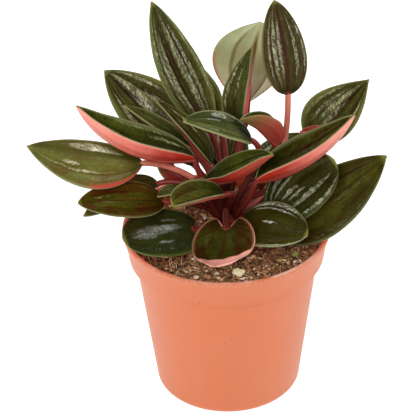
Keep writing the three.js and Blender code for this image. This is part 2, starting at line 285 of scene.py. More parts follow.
def potMaterial():
    make = Finish("terracottaPlastic")
    x, y, height = make.parts(make.place)
    cloud = make.grain(26, 3)
    colour = make.over(paint(*pot["colour"]), pot["pale"], make.step(cloud, 0.35, 0.7) * 0.5)
    # the top of the rim paler, partly wear and partly painted highlight where it faces the light
    lipWearAndSheen = belowTop(make, height, pot["wornAndSheenDepth"]) * make.step(make.grain(1.6, 3), 0.35, 0.62)
    colour = make.over(colour, pot["worn"], lipWearAndSheen * 0.45)
    # painted light: the wall just inside the rim is brighter than the pot, against its shade
    outer, nearer = [(pot["innerRadius"] + side) * mm for side in (0.3, -0.3)]
    within = make.step(x * x + y * y, outer ** 2, nearer ** 2)
    innerPaintedLight = within * belowTop(make, height, pot["innerDepth"])
    colour = make.over(colour, pot["innerPaintedLight"], innerPaintedLight)
    # a painted highlight along the crest of the lip, broken up and stronger on the right
    crestHighlight = belowTop(make, height, pot["crestHighlightDepth"]) * make.step(make.grain(14, 3), 0.4, 0.6)
    colour = make.over(colour, pot["crestHighlight"], crestHighlight * (0.2 + make.step(x, -0.005, 0.02) * 0.4))
    specks = make.step(make.grain(2.2, 1), 0.8, 0.82)
    colour = make.over(colour, pot["speck"], specks * 0.75)
    skin = make.bump(make.grain(0.5, 2), 0.03)
    rough = pot["roughness"] + make.grain(4, 2) * 0.12
    return make.finish(colour, rough, Sheen_Weight=pot["sheen"], Normal=skin)


def buildPot():
    profile = potProfile()
    radius, level = profile[0]
    deselectAll()
    bpy.ops.mesh.primitive_circle_add(
        vertices=pot["sides"], radius=radius * mm, location=(0, 0, level * mm), fill_type="NGON")
    piece = newPiece("nurseryPot")
    settle(piece)
    bpy.ops.object.mode_set(mode="EDIT")
    bpy.ops.mesh.select_all(action="SELECT")
    bpy.ops.mesh.select_mode(type="EDGE")
    extrudeRings(profile)
    closeShell()
    for k in range(pot["drainHoles"]):
        turn = 2 * math.pi * k / pot["drainHoles"]
        centre = (pot["drainCircle"] * math.cos(turn), pot["drainCircle"] * math.sin(turn), 2)
        deselectAll()
        bpy.ops.mesh.primitive_cylinder_add(
            vertices=32, radius=pot["drainRadius"] * mm, depth=8 * mm, location=toMetres(centre))
        drill = newPiece("drill")
        selectOnly(piece)
        cut = piece.modifiers.new("drain", "BOOLEAN")
        cut.operation = "DIFFERENCE"
        cut.object = drill
        applyModifiers(piece)
        bpy.data.objects.remove(drill)
    smooth(piece, 35)
    piece.data.materials.append(potMaterial())
    finishPiece(piece, "pot", "pot")


# The soil's top: the same lumps as in the solid, with finer crumbs on them, in millimetres.
soil = dict(
    edge=85, dome=3, relief=1.4, radius=48.8, cells=150, floor=4.3, crown=(0, 3), crownHole=5.4,
    potGap=0.3, lumpSize=2.3, lumpHeight=0.8, gritSize=0.9, gritHeight=0.45, roughness=0.9,
    bitRoughness=0.85, dark=(50, 29, 14), brown=(180, 132, 80), tan=(228, 192, 138), crevice=(52, 34, 22))


def soilHeight(x, y):
    across = min(math.hypot(x, y) / soil["radius"], 1)
    alongX = math.sin(0.55 * x + 2 * math.sin(0.21 * y))
    alongY = math.cos(0.47 * y - 1.7 * math.sin(0.17 * x))
    dome = soil["dome"] * (1 - across ** 2)
    return soil["edge"] + dome + soil["relief"] * alongX * alongY * (1 - across ** 6)


def crumbHeight(x, y):
    # finer lumps that the crumbs lie among
    coarse = noise.noise(Vector((x / soil["lumpSize"], y / soil["lumpSize"], 0)))
    fine = noise.noise(Vector((x / soil["gritSize"], y / soil["gritSize"], 5)))
    return soilHeight(x, y) + soil["lumpHeight"] * coarse + soil["gritHeight"] * fine


def soilMaterial():
    make = Finish("peatCompost")
    lumps = make.grain(1.1, 4, 0.7)
    bits = make.grain(0.6, 2)
    colour = make.over(paint(*soil["dark"]), soil["brown"], make.step(lumps, 0.38, 0.66))
    colour = make.over(colour, soil["tan"], make.step(bits, 0.62, 0.74) * 0.8)
    skin = make.bump(make.grain(0.5, 4, 0.7), 0.5)
    return make.finish(colour, soil["roughness"], Normal=skin)


def buildSoil():
    deselectAll()
    cells = soil["cells"]
    bpy.ops.mesh.primitive_grid_add(x_subdivisions=cells, y_subdivisions=cells, size=2)
    piece = newPiece("peat")
    for vertex in piece.data.vertices:
        x, y = vertex.co.x, vertex.co.y
        # a square of cells drawn out to a disc
        discX = x * math.sqrt(1 - y * y / 2) * soil["radius"]
        discY = y * math.sqrt(1 - x * x / 2) * soil["radius"]
        vertex.co = toMetres((discX, discY, crumbHeight(discX, discY)))
    bpy.ops.object.mode_set(mode="EDIT")
    bpy.ops.mesh.select_all(action="SELECT")
    bpy.ops.mesh.region_to_loop()
    inside = [(radius - soil["potGap"], level) for radius, level in potProfile()[-4:]]
    extrudeRings([(soil["radius"], soil["edge"])] + inside)
    bpy.ops.transform.resize(value=(1, 1, 0), center_override=(0, 0, soil["floor"] * mm))
    closeShell()
    smooth(piece, 60)
    piece.data.materials.append(soilMaterial())
    finishPiece(piece, "soil", "soil")


# Loose bits that lie on the soil. Each row: how many, their size, how long they are for their
# width, how much of them sticks out, the seed of their places, and their colours.
soilBits = dict(
    peatCrumbs=dict(
        count=1700, size=(0.6, 2.3), stretch=(0.8, 1.8), proud=0.35, seed=4,
        colours=[(122, 80, 45), (186, 138, 86), (232, 194, 142), (44, 25, 13), (72, 44, 24),
                 (150, 102, 60)]),
    barkFlakes=dict(
        count=560, size=(0.5, 1.2), stretch=(1.8, 4.4), proud=0.6, seed=9,
        colours=[(212, 176, 128), (238, 210, 166), (168, 116, 72), (198, 158, 112)]),
    perlite=dict(
        count=24, size=(0.9, 1.9), stretch=(0.9, 1.4), proud=0.6, seed=21,
        colours=[(240, 232, 208), (226, 214, 176), (246, 240, 226)]))
# The lumps that the photo shows plainly, as x and y on the soil, size and colour.
plainLumps = [
    (5.1, -37.5, 4.2, (255, 248, 204)), (7.0, -35.6, 2.8, (250, 238, 190)),
    (3.4, -36.0, 2.2, (236, 220, 170)), (-15.6, -37.8, 2.8, (246, 206, 182)),
    (-4.3, -39.1, 2.0, (240, 226, 204)), (-2.2, -31.0, 2.4, (156, 156, 74)),
    (33.9, -19.3, 3.4, (150, 158, 78)), (26.2, -26.2, 2.4, (176, 166, 84)),
    (-28.1, -25.8, 1.6, (226, 150, 84)), (17.4, 30.9, 3.0, (226, 176, 156)),
    (9.2, 28.9, 2.4, (230, 196, 170))]
# Every bit is a copy of one of a few knobbly lumps, made flatter and leaned over a little. It
# keeps clear of the pot's rim and of the crown.
lump = dict(
    models=4, segments=7, rings=5, knobSize=2.4, knobs=0.75, flat=0.75, lean=0.6, sunk=0.35,
    rimGap=1.2, crownGap=1.5, plainStretch=1.15, plainProud=0.8)
# Pale fibres: how many, how long, how thick, how high they arch, how far they curl and how far
# out they lie. Two of them stand upright.
fibres = dict(
    count=120, length=(2.5, 9), radius=0.15, arch=(0.3, 1.5), curl=1.6, lift=0.5, gap=2, reach=44,
    seed=31, sides=4, steps=7, colours=[(226, 200, 160), (196, 160, 118), (240, 220, 186)],
    upright=[(-27.4, -30.3), (-26.6, -28.6)], uprightHeight=7, uprightLean=1.2)


def bitMaterial(name):
    make = Finish(name)
    tone = make.node("ShaderNodeAttribute", {"attribute_name": "tone"}, output="Color")
    shade = make.step(make.grain(0.7, 3, 0.6), 0.3, 0.75)
    colour = make.over(tone, soil["crevice"], 0.2 - shade * 0.2)
    skin = make.bump(make.grain(0.3, 3, 0.6), 0.15)
    return make.finish(colour, soil["bitRoughness"], Normal=skin)


def crumbModel(draw, index):
    # one lump of a few dozen faces, about 1 across
    deselectAll()
    bpy.ops.mesh.primitive_uv_sphere_add(segments=lump["segments"], ring_count=lump["rings"], radius=0.5)
    model = newPiece(f"crumb{index}")
    for vertex in model.data.vertices:
        knob = noise.noise(vertex.co * lump["knobSize"] + Vector((7 * index, 0, 0)))
        vertex.co *= 1 + lump["knobs"] * knob
        vertex.co.z *= draw.uniform(0.92, 1.0)
    return model


def placeBit(model, name, spot, size, stretch, proud, colour, draw):
    x, y = spot
    piece = model.copy()
    piece.data = model.data.copy()
    piece.name = name
    bpy.context.scene.collection.objects.link(piece)
    turn = Matrix.Rotation(draw.uniform(0, 2 * math.pi), 4, "Z")
    lean = Matrix.Rotation(draw.uniform(-lump["lean"], lump["lean"]), 4, "X")
    form = Matrix.Diagonal((size * stretch * mm, size * mm, size * lump["flat"] * mm, 1))
    level = crumbHeight(x, y) + size * lump["flat"] * (proud - lump["sunk"])
    piece.data.transform(Matrix.Translation(toMetres((x, y, level))) @ turn @ lean @ form)
    paintWhole(piece, colour)
    return piece


def buildSoilBits():
    rim = soil["radius"] - lump["rimGap"]
    for name, bits in soilBits.items():
        draw = random.Random(bits["seed"])
        models = [crumbModel(draw, index) for index in range(lump["models"])]
        pieces = []
        while len(pieces) < bits["count"]:
            x, y = draw.uniform(-rim, rim), draw.uniform(-rim, rim)
            fromCrown = math.hypot(x - soil["crown"][0], y - soil["crown"][1])
            if math.hypot(x, y) > rim or fromCrown < soil["crownHole"] + lump["crownGap"]:
                continue
            size, stretch = draw.uniform(*bits["size"]), draw.uniform(*bits["stretch"])
            colour = draw.choice(bits["colours"])
            pieces.append(placeBit(
                draw.choice(models), name, (x, y), size, stretch, bits["proud"], colour, draw))
        if name == "perlite":
            stretch, proud = lump["plainStretch"], lump["plainProud"]
            for x, y, size, colour in plainLumps:
                pieces.append(placeBit(models[0], name, (x, y), size, stretch, proud, colour, draw))
        whole = joinPieces(name, pieces)
        for model in models:
            bpy.data.objects.remove(model)
        smooth(whole, 50)
        whole.data.materials.append(bitMaterial(name))
        finishPiece(whole, "soil")


def tubeAlong(name, places, radii, sides):
    # a round rod through these places, in millimetres
    deselectAll()
    bpy.ops.curve.primitive_bezier_curve_add(location=(0, 0, 0))
    rod = newPiece(name)
    curve = rod.data
    curve.splines.clear()
    line = curve.splines.new("POLY")
    line.points.add(len(places) - 1)
    for point, place, radius in zip(line.points, places, radii):
        point.co = (*toMetres(place), 1)
        point.radius = radius
    curve.dimensions = "3D"
    curve.bevel_depth = mm
    curve.bevel_resolution = (sides - 4) // 2
    curve.use_fill_caps = True
    selectOnly(rod)
    bpy.ops.object.convert(target="MESH")
    return bpy.context.object


def fibrePath(draw, x, y):
    # a curled hair that starts and ends in the soil
    heading, curl = draw.uniform(0, 2 * math.pi), draw.uniform(-fibres["curl"], fibres["curl"])
    length, arch = draw.uniform(*fibres["length"]), draw.uniform(*fibres["arch"])
    steps = fibres["steps"]
    places = []
    for i in range(steps + 1):
        share = i / steps
        places.append((x, y, crumbHeight(x, y) + fibres["lift"] + arch * math.sin(math.pi * share)))
        x += math.cos(heading + curl * share) * length / steps
        y += math.sin(heading + curl * share) * length / steps
    return places


def buildFibres():
    draw = random.Random(fibres["seed"])
    reach, gap, rise = fibres["reach"], fibres["gap"], fibres["uprightHeight"]
    rods = []
    while len(rods) < fibres["count"]:
        x, y = draw.uniform(-reach, reach), draw.uniform(-reach, reach)
        places = fibrePath(draw, x, y)
        fits = all(math.hypot(a, b) < soil["radius"] - gap for a, b, _ in places)
        away = min(math.hypot(a - soil["crown"][0], b - soil["crown"][1]) for a, b, _ in places)
        if fits and away > soil["crownHole"] + gap:
            rods.append((places, draw.choice(fibres["colours"])))
    for x, y in fibres["upright"]:
        foot = crumbHeight(x, y) - fibres["lift"]
        lean = fibres["uprightLean"]
        stem = [(x - lean * math.sin(2.2 * t), y, foot + rise * t) for t in (0, 0.25, 0.5, 0.75, 1)]
        rods.append((stem, fibres["colours"][0]))
    pieces = []
    for places, colour in rods:
        piece = tubeAlong("fibre", places, [fibres["radius"]] * len(places), fibres["sides"])
        paintWhole(piece, colour)
        pieces.append(piece)
    whole = joinPieces("peatFibres", pieces)
    whole.data.materials.append(bitMaterial("fibre"))
    finishPiece(whole, "soil")


# The plant. base and tip are the two ends of a blade, and width is its widest, in millimetres.
# The other values shape it as they shape the solid: turn, bend, hook, fold and cup in degrees,
# round, late, lobe and sweep for the outline, rise, follow, dip, arrive and clear for the stalk.
# look and under name its finishes, stalk its stalk's colour, curl where a pale tip begins, and
# flush how far from its base one margin is red. The glints are painted highlights where the light
# catches it: the u and v of each one's middle, its half width and its half length.
leaves = [
    dict(node="leaf_01_tall_left", look="silverAndHighlight", base=(-9, 28, 134), tip=(-35, 55, 191), width=30,
         bend=6, fold=12, cup=20, sweep=-5.5, clear=0.25,
         glints=[(-0.46, 0.5, 0.12, 0.46), (-0.24, 0.42, 0.11, 0.38), (0.31, 0.5, 0.14, 0.46),
                 (0.58, 0.45, 0.07, 0.42), (0.87, 0.5, 0.08, 0.45), (-0.8, 0.6, 0.1, 0.38)]),
    dict(node="leaf_02_pale_back", look="paleBack", base=(10, 48, 134), tip=(19, 38, 187), width=40,
         turn=-40, bend=12, fold=6, round=-0.4, late=0.2, arrive=(0, 0.2, 1), under="pale"),
    dict(node="leaf_03_narrow", look="slim", base=(10, 19, 138), tip=(15, 30, 178), width=27, turn=-32,
         bend=-10, fold=32, cup=26, round=0.3, late=-0.1, under="flush",
         glints=[(-0.8, 0.55, 0.08, 0.4), (-0.5, 0.6, 0.07, 0.3), (0.16, 0.42, 0.13, 0.36)]),
    dict(node="leaf_04_tall_right", look="striped", base=(32, 18, 157), tip=(26, 38, 199), width=24,
         bend=0, fold=8, cup=20, round=0.5, rise=0.2, follow=1, arrive=(0, -0.05, 1), stalk="salmon",
         glints=[(-0.38, 0.5, 0.12, 0.46), (-0.1, 0.5, 0.14, 0.4), (0.56, 0.5, 0.1, 0.44),
                 (-0.68, 0.5, 0.07, 0.38), (0.86, 0.5, 0.06, 0.35)]),
    dict(node="leaf_05_right_back", look="silverAndHighlight", base=(43, 22, 126), tip=(74, 42, 151), width=31,
         turn=20, bend=-10, fold=12, cup=20, round=-0.1, late=-0.05,
         glints=[(-0.28, 0.62, 0.12, 0.36), (-0.52, 0.5, 0.09, 0.34), (-0.08, 0.42, 0.11, 0.26),
                 (-0.78, 0.5, 0.06, 0.3), (0.7, 0.6, 0.05, 0.25)]),
    dict(node="leaf_06_right_boat", look="ruddy", base=(15, -9, 124), tip=(64, 3, 153), width=32, turn=6,
         bend=-80, fold=44, cup=32, round=0.4, rise=0.15, follow=0.45, arrive=(0.25, 0, 1),
         glints=[(-0.16, 0.6, 0.07, 0.18)]),
    dict(node="leaf_07_right_low", look="olive", base=(22, -8, 92), tip=(80, 0, 131), width=38, turn=22,
         bend=-20, fold=-8, cup=20, sweep=2, glints=[(0.1, 0.65, 0.08, 0.18), (0.84, 0.5, 0.06, 0.35)]),
    dict(node="leaf_08_round", look="glossy", base=(26, -9, 109), tip=(54, 0, 129), width=38, turn=12,
         bend=40, fold=-12, cup=10, round=1, lobe=6, clear=0.08,
         glints=[(0.46, 0.5, 0.09, 0.42), (0.88, 0.55, 0.06, 0.42), (0.02, 0.25, 0.1, 0.17),
                 (-0.34, 0.22, 0.1, 0.22), (-0.62, 0.22, 0.07, 0.26), (-0.86, 0.24, 0.06, 0.28),
                 (0.24, 0.32, 0.05, 0.16)]),
    dict(node="leaf_09_front_right", look="dusk", base=(7, -23, 109), tip=(39, -38, 110), width=31,
         turn=14, bend=30, fold=-5, cup=10, round=0.7, dip=20,
         glints=[(-0.86, 0.44, 0.1, 0.46), (-0.66, 0.45, 0.05, 0.36), (-0.06, 0.42, 0.07, 0.13),
                 (0.94, 0.75, 0.04, 0.25)]),
    dict(node="leaf_10_front_cup", look="bronze", base=(-0.3, -32.5, 110.6), tip=(-6, -51, 101.8),
         width=36, turn=17, bend=-30, hook=-60, fold=0, cup=30, round=1, lobe=7.5, sweep=-1.5,
         arrive=(0, -1, -0.15), clear=0.4, curl=0.68, stalk="shade", under="curled",
         glints=[(0.6, 0.3, 0.07, 0.2), (0.36, 0.16, 0.1, 0.08)]),
    dict(node="leaf_11_front_left", look="patch", base=(-17, -16, 100), tip=(-51, -27, 103), width=33,
         turn=-14, bend=20, fold=-8, cup=10, round=1, lobe=4,
         glints=[(0.06, 0.56, 0.24, 0.32), (-0.14, 0.7, 0.16, 0.22), (0.12, 0.34, 0.14, 0.2),
                 (0.46, 0.3, 0.08, 0.14), (-0.42, 0.44, 0.05, 0.14)]),
    dict(node="leaf_12_left_low", look="umber", base=(-31, -8, 112), tip=(-73, -14, 116), width=28,
         turn=-9, fold=0, cup=10, round=0.5,
         glints=[(-0.12, 0.66, 0.07, 0.1), (0.92, 0.5, 0.05, 0.4), (0.2, 0.72, 0.06, 0.12)]),
    dict(node="leaf_13_far_left", look="sage", base=(-41, 8, 125), tip=(-98, 5, 138), width=36, turn=-12,
         bend=-10, fold=-26, cup=30, round=0, late=0.06, sweep=-1.5, clear=0.1, stalk="salmon",
         flush=0.5,
         glints=[(0.66, 0.46, 0.19, 0.2), (0.56, 0.3, 0.08, 0.14), (-0.42, 0.56, 0.04, 0.36),
                 (-0.24, 0.62, 0.07, 0.09)]),
    dict(node="leaf_14_left_boat", look="boat", base=(-15, 0, 132), tip=(-72, 2, 162), width=32, turn=-6,
         bend=-88, fold=44, cup=32, round=0.3, arrive=(-0.15, 0, 1),
         glints=[(0.66, 0.2, 0.06, 0.2), (0.34, 0.52, 0.07, 0.12), (0.3, 0.34, 0.05, 0.1),
                 (0.44, 0.66, 0.05, 0.1), (0.84, 0.45, 0.05, 0.3)]),
    dict(node="leaf_15_upper_left", look="silverAndHighlight", base=(-15, 22, 125), tip=(-60, 48, 156), width=36,
         turn=-25, bend=0, fold=12, cup=16, sweep=-2,
         glints=[(0.26, 0.7, 0.17, 0.22), (0.3, 0.86, 0.12, 0.12), (0.06, 0.52, 0.12, 0.18),
                 (0.76, 0.72, 0.07, 0.24), (-0.62, 0.6, 0.1, 0.24), (0.42, 0.46, 0.12, 0.2),
                 (0.3, 0.24, 0.14, 0.16)]),
    dict(node="leaf_16_small_folded", look="young", base=(-19, 14, 130), tip=(-50, 26, 148), width=13,
         bend=0, fold=20, cup=20, under="wine", glints=[(0.4, 0.5, 0.08, 0.3), (-0.6, 0.7, 0.1, 0.25)]),
    dict(node="leaf_17_narrow_dark", look="slim", base=(-7, 3, 126), tip=(-34, 15, 157), width=17,
         turn=-3, bend=0, fold=35, cup=20, under="wine", glints=[(0.62, 0.6, 0.05, 0.3)]),
    dict(node="leaf_18_centre", look="mossy", base=(13, 3, 140), tip=(-20, -8, 158), width=20, turn=-15,
         bend=25, fold=5, cup=20, round=0.4,
         glints=[(0.74, 0.5, 0.16, 0.14), (0.86, 0.18, 0.08, 0.2), (0.36, 0.6, 0.08, 0.14),
                 (-0.5, 0.7, 0.1, 0.2)]),
    dict(node="leaf_19_small_curled", look="fresh", base=(26, 16, 129), tip=(8, 4, 151), width=20,
         bend=20, fold=50, cup=45, round=0.4, clear=0.15, under="russet", glints=[(0.5, 0.6, 0.06, 0.2)]),
    dict(node="leaf_20_centre_right", look="fresh", base=(-10.5, -8, 124), tip=(23.5, -13, 140.8),
         width=24.5, turn=7, bend=-90, hook=45, fold=36, cup=30, round=0.3, late=0.1, sweep=1, clear=0.15,
         under="scarlet", glints=[(0.0, 0.75, 0.05, 0.12)]),
    dict(node="leaf_21_centre_left", look="ruddy", base=(-1, -17, 121), tip=(-26, -27, 121), width=23,
         bend=30, fold=15, cup=40, round=0.7, late=0.15, sweep=-2, clear=0.45, under="russet",
         glints=[(-0.84, 0.6, 0.05, 0.18)]),
    dict(node="leaf_22_under_left", look="olive", base=(-34, 9, 112), tip=(-72, 5, 96), width=26, fold=5,
         cup=15, glints=[(0.0, 0.65, 0.1, 0.1)]),
    dict(node="leaf_23_tiny", look="young", base=(-23, -2, 116), tip=(-34, -8, 115), width=9, fold=5,
         cup=15),
    dict(node="leaf_24_dark_red", look="fresh", base=(-22, 14, 112), tip=(-34, 16, 118), width=9,
         turn=150, fold=5, cup=15, under="wine"),
    dict(node="leaf_25_behind_boat", look="fresh", base=(38, 18, 134), tip=(58, 18, 135), width=8,
         turn=-120, bend=0, fold=5, cup=15, follow=0.8, arrive=(0, 0, 1), clear=1.4, under="wine"),
    dict(node="leaf_26_back_low", look="patch", base=(2, 22, 106), tip=(-8, 75, 112), width=30, bend=20,
         round=0.3),
    dict(node="leaf_27_back_left", look="striped", base=(-15, 22, 114), tip=(-46, 64, 126), width=26,
         bend=15, round=0.3),
    dict(node="leaf_28_left_back", look="fresh", base=(-28, 26, 114), tip=(-64, 45, 122), width=18,
         bend=15, round=0.3, arrive=(-0.6, 0.4, 1)),
    dict(node="leaf_29_back_right", look="glossy", base=(17, 19, 104), tip=(45, 58, 110), width=26,
         bend=20, round=0.3),
    dict(node="leaf_30_right_back_low", look="umber", base=(18, 14, 96), tip=(60, 42, 98), width=24,
         bend=15, round=0.4),
    dict(node="leaf_31_back_upper_left", look="silverAndHighlight", base=(-4, 36, 132), tip=(-25, 74, 151), width=20),
    dict(node="leaf_32_back_upper", look="striped", base=(-1, 24, 113), tip=(-1, 66, 126), width=14),
]

blade = dict(
    across=48, along=72, ribHeight=0.035, stalkRadius=1.5, thickness=1.2, marginThickness=0.55,
    tipHalf=0.3, ripple=0.35, notch=300, crowding=0.11, relief=0.35, ribRelief=0.75)

crown = dict(
    place=(0, 3), radius=6, top=99, height=28, reach=0.55, topTier=5, tiers=4, tierHeight=1.5,
    stalkGap=0.45, lumps=0.1, lumpSize=2.6)


def bladeFrame(leaf):
    start = Vector(leaf["base"])
    chord = Vector(leaf["tip"]) - start
    along = chord.normalized()
    up = (Vector((0, 0, 1)) - along * along.z).normalized()
    up.rotate(Quaternion(along, math.radians(leaf.get("turn", 0))))
    return start, chord.length, along, up, along.cross(up)


def midrib(leaf, length):
    # the bent middle line of a blade, as x along it, y up from it and its slope
    steps = 40
    bend, hook = leaf.get("bend", 10), leaf.get("hook", 0)
    slopes = [math.radians(bend * (0.5 - i / steps) - hook * (i / steps) ** 4) for i in range(steps + 1)]
    line = [(0, 0)]
    for slope in slopes[:-1]:
        x, y = line[-1]
        line.append((x + math.cos(slope) / steps, y + math.sin(slope) / steps))
    level = math.atan2(line[-1][1], line[-1][0])
    scale = length / math.hypot(*line[-1])
    cos, sin = math.cos(level), math.sin(level)

    def at(v):
        i = min(int(v * steps), steps - 1)
        t = v * steps - i
        x = line[i][0] + (line[i + 1][0] - line[i][0]) * t
        y = line[i][1] + (line[i + 1][1] - line[i][1]) * t
        slope = slopes[i] + (slopes[i + 1] - slopes[i]) * t
        return (x * cos + y * sin) * scale, (y * cos - x * sin) * scale, slope - level

    return at


def outline(v, roundness, late):
    # the blade's half width at v, from 0 at its base to 1 at its tip, as a share of its widest
    rise = 0.62 - 0.3 * roundness + late
    fall = 0.95 - 0.5 * roundness - late
    peak = rise / (rise + fall)
    return (v / peak) ** rise * ((1 - v) / (1 - peak)) ** fall


def bladeSurface(leaf, seed=0):
    start, length, along, up, side = bladeFrame(leaf)
    line = midrib(leaf, length)
    roundness, late = leaf.get("round", 0.2), leaf.get("late", 0)
    lobe, sweep = leaf.get("lobe", 0), leaf.get("sweep", 0)
    relief = blade["relief"] + blade["ribRelief"] * looks[leaf["look"]]["ribs"]
    fold = math.radians(leaf.get("fold", 14))
    curl = math.radians(leaf.get("cup", 14)) + 1e-6

    def at(u, v):
        x, y, slope = line(v)
        smallest = blade["stalkRadius"] if v < 0.5 else blade["tipHalf"]
        half = max(leaf["width"] / 2 * outline(v, roundness, late), smallest)
        end = fold + curl * abs(u)
        out = half * (math.sin(end) - math.sin(fold)) / curl
        lift = half * (math.cos(fold) - math.cos(end)) / curl
        rib = relief * blade["ribHeight"] * half * 2 * abs(math.sin(2 * math.pi * u)) ** 1.4
        wave = noise.noise(Vector((v * 5, u, seed))) * blade["ripple"] * abs(u) ** 3
        high = lift + rib + wave * min(1, half / 6)
        forward = x - lobe * abs(u) ** 1.5 * (1 - v) ** 4 * (1 - (1 - v) ** blade["notch"])
        return (start + along * (forward - high * math.sin(slope)) + up * (y + high * math.cos(slope))
                + side * (math.copysign(out, u) + sweep * 4 * v * (1 - v)))

    return at


# How the blades are coloured. shine is how strong the silver and its painted highlights are, ribs
# how plain the dark lines along it are, and gloss how wet its skin looks. Where a look needs them:
# dusk for how far the painted shade of the base goes up, brown for broad brown clouds, heart for
# the half width of the dark line down the middle as a share of the blade's, speckle for how broken
# the silver is, rim for where the pale margin starts, rays for veins that fan out, feather for
# veins that leave the middle one in pairs, side for a half darkened with painted shade, and lip for
# an edge of its own colour.
looks = dict(
    silverAndHighlight=dict(
        deep=(32, 34, 10), green=(80, 84, 32), vein=(52, 26, 16), silverAndHighlight=(192, 192, 150),
        margin=(118, 124, 66), brown=0.25, shine=0.85, ribs=0.85, gloss=0.6, heart=0.2, rim=0.7),
    striped=dict(
        deep=(34, 28, 10), green=(80, 78, 34), vein=(66, 36, 20), silverAndHighlight=(200, 200, 166),
        margin=(116, 114, 72), brown=0.3, shine=0.8, ribs=0.95, gloss=0.6, heart=0.32),
    slim=dict(
        deep=(32, 36, 10), green=(88, 96, 38), vein=(66, 30, 18), silverAndHighlight=(200, 204, 146),
        margin=(126, 130, 80), brown=0.3, shine=0.85, dusk=0.3, ribs=0.85, gloss=0.6, heart=0.14),
    glossy=dict(
        deep=(26, 28, 8), green=(64, 66, 24), vein=(24, 20, 6), silverAndHighlight=(216, 220, 184),
        margin=(84, 92, 48), brown=0.1, shine=0.7, ribs=0.6, gloss=0.45, speckle=0.9),
    dusk=dict(
        deep=(26, 26, 2), green=(64, 64, 10), vein=(50, 34, 4), silverAndHighlight=(216, 222, 200),
        margin=(136, 142, 96), brown=0.45, shine=1.0, dusk=0.1, ribs=0.12, gloss=0.12),
    patch=dict(
        deep=(30, 34, 12), green=(58, 64, 24), vein=(24, 28, 10), silverAndHighlight=(162, 168, 156),
        margin=(90, 102, 46), brown=0.1, shine=0.72, ribs=0.2, gloss=0.4, heart=0.1, speckle=0.75),
    bronze=dict(
        deep=(34, 28, 3), green=(64, 68, 12), vein=(54, 26, 4), silverAndHighlight=(120, 118, 70),
        margin=(156, 104, 76), lip=(206, 140, 120), brown=0.6, shine=0.3, ribs=0.12, gloss=0.05,
        rays=0.6),
    umber=dict(
        deep=(38, 28, 2), green=(92, 92, 14), vein=(78, 32, 8), silverAndHighlight=(178, 182, 120),
        margin=(120, 122, 72), brown=0.6, shine=0.6, dusk=0.15, ribs=0.6, gloss=0.18, heart=0.1),
    olive=dict(
        deep=(42, 40, 10), green=(84, 84, 24), vein=(46, 30, 10), silverAndHighlight=(130, 136, 106),
        margin=(112, 118, 76), brown=0.5, shine=0.4, dusk=0.15, ribs=0.45, gloss=0.3),
    sage=dict(
        deep=(66, 66, 20), green=(120, 122, 56), vein=(98, 64, 26), silverAndHighlight=(208, 202, 164),
        margin=(146, 148, 106), brown=0.35, shine=0.95, dusk=0.1, ribs=0.4, gloss=0.35, heart=0.08,
        speckle=0.9, side=0.6),
    boat=dict(
        deep=(30, 29, 6), green=(92, 98, 30), vein=(44, 34, 10), silverAndHighlight=(176, 182, 130),
        margin=(132, 136, 86), brown=0.15, shine=0.9, dusk=0.45, ribs=0.5, gloss=0.25, rim=0.76),
    ruddy=dict(
        deep=(22, 18, 1), green=(102, 108, 34), vein=(62, 30, 10), silverAndHighlight=(160, 164, 110),
        margin=(128, 132, 82), brown=0.4, shine=0.6, dusk=0.68, ribs=0.6, gloss=0.12, heart=0.14,
        rim=0.78, feather=0.45),
    young=dict(
        deep=(36, 38, 12), green=(90, 96, 40), vein=(36, 30, 10), silverAndHighlight=(156, 160, 108),
        margin=(146, 150, 94), shine=0.3, dusk=0.4, ribs=0.75, gloss=0.2, heart=0.16, rim=0.74),
    fresh=dict(
        deep=(26, 30, 4), green=(76, 84, 20), vein=(34, 34, 6), silverAndHighlight=(168, 178, 152),
        margin=(126, 128, 82), shine=0.65, dusk=0.42, ribs=0.7, gloss=0.22),
    mossy=dict(
        deep=(28, 34, 12), green=(104, 110, 52), vein=(40, 40, 16), silverAndHighlight=(206, 216, 196),
        margin=(150, 152, 104), brown=0.15, shine=0.9, dusk=0.25, ribs=0.85, gloss=0.4, rim=0.8,
        side=0.45),
    paleBack=dict(
        deep=(42, 48, 20), green=(86, 96, 46), vein=(60, 38, 22), silverAndHighlight=(170, 178, 142),
        margin=(150, 152, 114), brown=0.2, shine=0.6, ribs=0.6, gloss=0.4, heart=0.14))
# What the blades share: the colours of the tip, the base, a curled tip, a red margin and the
# worn spots of the edge, and how the skin takes the light.
leafTones = dict(
    tip=(146, 144, 70), blush=(150, 66, 44), curl=(228, 158, 140), flush=(184, 78, 62),
    worn=(176, 132, 104))
leafSkin = dict(
    roughness=0.5, specular=0.02, coatRoughness=0.2, wetCoat=0.4, glintCoat=0.35, bump=0.3,
    underSpecular=0.1, underBump=0.16, edgeRoughness=0.45, edgeSpecular=0.3, edgeShade=0.92)

